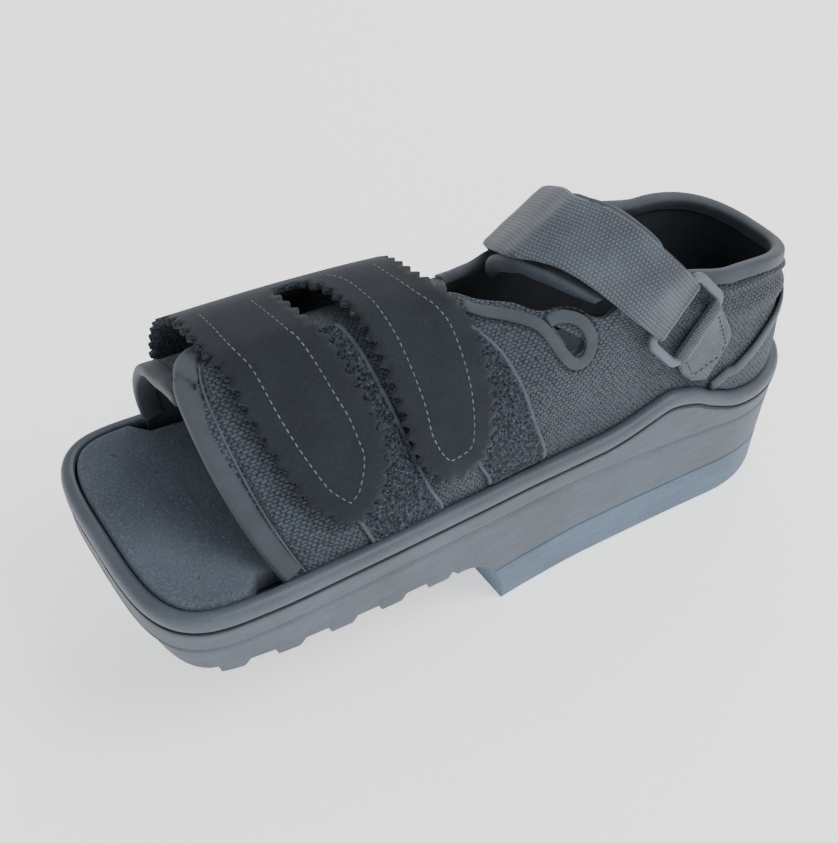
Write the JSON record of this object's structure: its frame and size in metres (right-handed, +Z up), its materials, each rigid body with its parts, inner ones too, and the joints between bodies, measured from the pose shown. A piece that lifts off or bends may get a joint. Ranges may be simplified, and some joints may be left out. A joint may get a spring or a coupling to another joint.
{
  "type": "post operative shoe",
  "caption": "Open-toe post operative shoe with a raised rear rocker block, hooked forefoot flap straps and an ankle strap through a ring, standing empty.",
  "frame": {"origin": "middle of the heel block's flat underside, on the ground", "axes": "+X to the toe, +Y to the wearer's left (the side that closes), +Z up"},
  "size_m": [0.2966, 0.1112, 0.1437],
  "materials": {
    "sole_foam": "moulded foam, fine skin, matte",
    "tread_foam": "moulded foam tread layer, matte, slightly bluer",
    "welt_foam": "smooth moulded bead, light grey",
    "insole_foam": "cloth-faced foam, speckled grey",
    "mesh_fabric": "padded open mesh, dark grey",
    "pile_fabric": "brushed loop pile",
    "strap_fabric": "suede-like laminated fabric with pinked edges",
    "binding_tape": "smooth folded tape, light grey",
    "pad_fabric": "soft padded fabric, dark",
    "webbing": "woven strap, satin face",
    "ring_plastic": "moulded plastic, satin"
  },
  "bodies": {
    "root": {"sole": "sole_foam", "heel_tread": "tread_foam", "welt": "welt_foam", "insole": "insole_foam", "upper": "mesh_fabric", "patch_front": "pile_fabric", "patch_rear": "pile_fabric", "forefoot_strap": "strap_fabric", "toe_binding": "binding_tape", "throat_binding": "binding_tape", "collar_binding": "binding_tape", "heel_counter": "mesh_fabric", "instep_pad": "pad_fabric", "ankle_strap": "webbing", "ring": "ring_plastic", "ring_tab": "webbing"}
  },
  "joints": []
}
